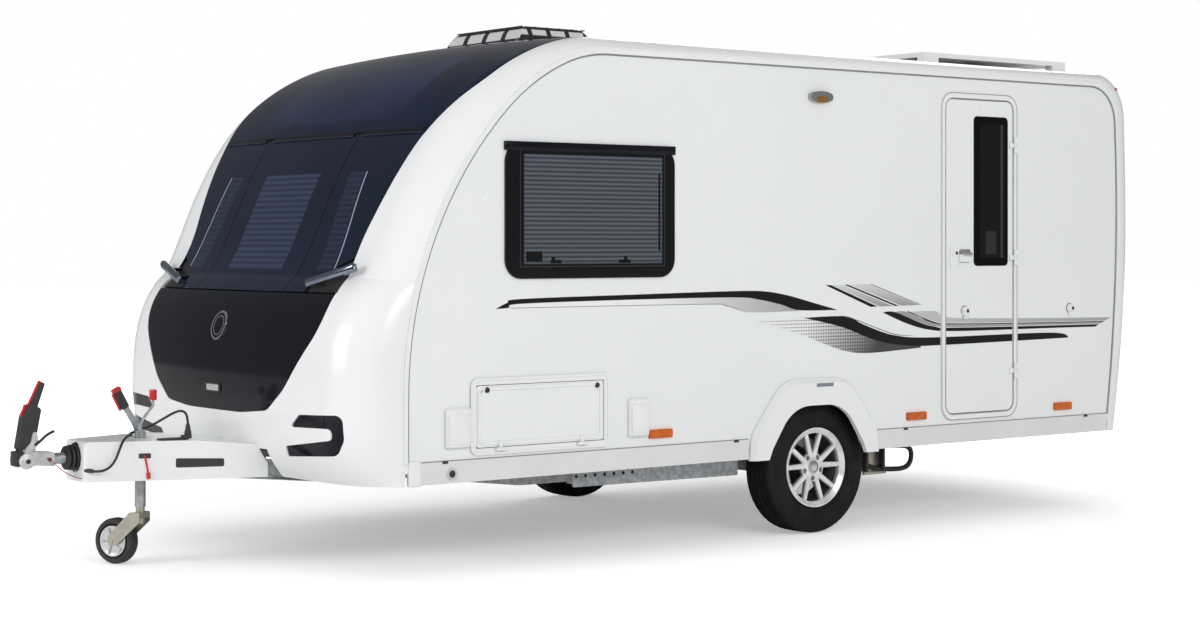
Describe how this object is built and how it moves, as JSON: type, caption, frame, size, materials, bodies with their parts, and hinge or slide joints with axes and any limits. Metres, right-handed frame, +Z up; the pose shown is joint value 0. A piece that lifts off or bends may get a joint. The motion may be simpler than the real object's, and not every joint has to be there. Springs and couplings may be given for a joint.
{
  "type": "travel caravan",
  "caption": "Single-axle touring caravan with a hollow glazed body, entrance door, gas locker lid, A-frame hitch with ball coupling, jockey wheel and corner steadies.",
  "frame": {"origin": "on the ground under the middle of the overall length and width", "axes": "+X forward to the coupling, +Y to the left side with the entrance door, +Z up"},
  "size_m": [6.1935, 2.326, 2.5],
  "materials": {
    "moulding_white": "gloss gel coat",
    "wall_white": "gloss skinned foam panel",
    "floor_ply": "bonded plywood",
    "dark_glazing": "tinted acrylic",
    "black_gloss": "gloss",
    "black_plastic": "matt",
    "grey_plastic": "matt",
    "blind": "pleated",
    "locker_liner": "matt",
    "aluminium": "anodised",
    "door_trim": "coated white",
    "galvanised": "galvanised",
    "cast_silver": "silver",
    "rubber": "matt",
    "tyre": "matt",
    "alloy": "painted and turned",
    "hub_steel": "painted",
    "amber": "amber lens",
    "solar": "glazed cells",
    "red_lens": "red lens",
    "cable_rubber": "smooth",
    "red_wire": "sheathed steel wire",
    "zinc": "zinc plated"
  },
  "bodies": {
    "caravan": {"front_moulding": "moulding_white", "front_windows": "dark_glazing", "front_skylight": "black_gloss", "handle_recesses": "black_gloss", "gas_locker_box": "locker_liner", "floor_panel": "floor_ply", "roof_panel": "moulding_white", "rear_moulding": "moulding_white", "side_wall_left": "wall_white", "side_wall_right": "wall_white", "door_frame": "door_trim", "locker_frames": "grey_plastic", "side_windows": "dark_glazing", "window_blinds": "blind", "awning_rails": "aluminium", "side_skirts": "wall_white", "wheel_spats": "moulding_white", "marker_lamps": "amber", "outlet_covers": "grey_plastic", "fridge_vents": "grey_plastic", "rooflight": "black_gloss", "solar_panel": "solar", "chassis_rails": "galvanised", "drawbars": "galvanised", "cross_members": "galvanised", "axle_beam": "galvanised", "steady_brackets": "galvanised", "coupling_head": "cast_silver", "stabiliser_handle": "black_plastic", "drawtube": "galvanised", "bellows": "rubber", "a_frame_fairing": "grey_plastic", "handbrake_lever": "galvanised", "jockey_clamp": "galvanised", "grab_handles": "black_gloss", "edge_seals": "rubber", "bumper_inserts": "black_plastic", "rear_lamps": "red_lens", "fairing_fittings": "black_plastic", "trailer_plug": "black_plastic", "trailer_cable": "cable_rubber", "breakaway_cable": "red_wire"},
    "wheel_left": {"tyre_left": "tyre", "rim_left": "alloy", "hub_left": "hub_steel"},
    "wheel_right": {"tyre_right": "tyre", "rim_right": "alloy", "hub_right": "hub_steel"},
    "jockey_tube": {"jockey_leg": "galvanised"},
    "jockey_caster": {"jockey_fork": "zinc"},
    "jockey_roller": {"jockey_wheel": "rubber"},
    "door": {"entrance_door": "wall_white", "entrance_door_window": "dark_glazing"},
    "gas_lid": {"gas_locker_lid": "black_gloss"},
    "locker_flap": {"side_locker_door": "wall_white"},
    "cassette_flap": {"cassette_door": "wall_white"},
    "front_left_leg": {"steady_front_left": "galvanised"},
    "front_right_leg": {"steady_front_right": "galvanised"},
    "rear_left_leg": {"steady_rear_left": "galvanised"},
    "rear_right_leg": {"steady_rear_right": "galvanised"}
  },
  "joints": [
    {"name": "wheel_left_spin", "type": "hinge", "parent": "caravan", "child": "wheel_left", "pos_m": [-0.64, 0.967, 0.325], "axis": [0, 1, 0], "continuous": true},
    {"name": "wheel_right_spin", "type": "hinge", "parent": "caravan", "child": "wheel_right", "pos_m": [-0.64, -0.967, 0.325], "axis": [0, 1, 0], "continuous": true},
    {"name": "jockey_tube_slide", "type": "slide", "parent": "caravan", "child": "jockey_tube", "axis": [0, 0, 1], "range_m": [0, 0.18]},
    {"name": "jockey_caster_swivel", "type": "hinge", "parent": "jockey_tube", "child": "jockey_caster", "pos_m": [2.493, 0, 0.3], "axis": [0, 0, 1], "continuous": true},
    {"name": "jockey_wheel_spin", "type": "hinge", "parent": "jockey_caster", "child": "jockey_roller", "pos_m": [2.55202, -0.11583, 0.1025], "axis": [0.891, 0.454, 0], "continuous": true},
    {"name": "entrance_door_hinge", "type": "hinge", "parent": "caravan", "child": "door", "pos_m": [-1.998, 1.141, 1.3], "axis": [0, 0, 1], "range_deg": [0, 168]},
    {"name": "gas_lid_hinge", "type": "hinge", "parent": "caravan", "child": "gas_lid", "pos_m": [2.018, 0, 1.222], "axis": [0, -1, 0], "range_deg": [0, 70]},
    {"name": "locker_flap_hinge", "type": "hinge", "parent": "caravan", "child": "locker_flap", "pos_m": [1.102, 1.141, 0.536], "axis": [-1, 0, 0], "range_deg": [0, 100]},
    {"name": "cassette_flap_hinge", "type": "hinge", "parent": "caravan", "child": "cassette_flap", "pos_m": [-2.185, -1.141, 0.73], "axis": [0, 0, -1], "range_deg": [0, 110]},
    {"name": "front_left_leg_pivot", "type": "hinge", "parent": "caravan", "child": "front_left_leg", "pos_m": [1.49, 0.8, 0.412], "axis": [0, -1, 0], "range_deg": [0, 70]},
    {"name": "front_right_leg_pivot", "type": "hinge", "parent": "caravan", "child": "front_right_leg", "pos_m": [1.49, -0.8, 0.412], "axis": [0, -1, 0], "range_deg": [0, 70]},
    {"name": "rear_left_leg_pivot", "type": "hinge", "parent": "caravan", "child": "rear_left_leg", "pos_m": [-2.62, 0.8, 0.412], "axis": [0, 1, 0], "range_deg": [0, 70]},
    {"name": "rear_right_leg_pivot", "type": "hinge", "parent": "caravan", "child": "rear_right_leg", "pos_m": [-2.62, -0.8, 0.412], "axis": [0, 1, 0], "range_deg": [0, 70]}
  ]
}
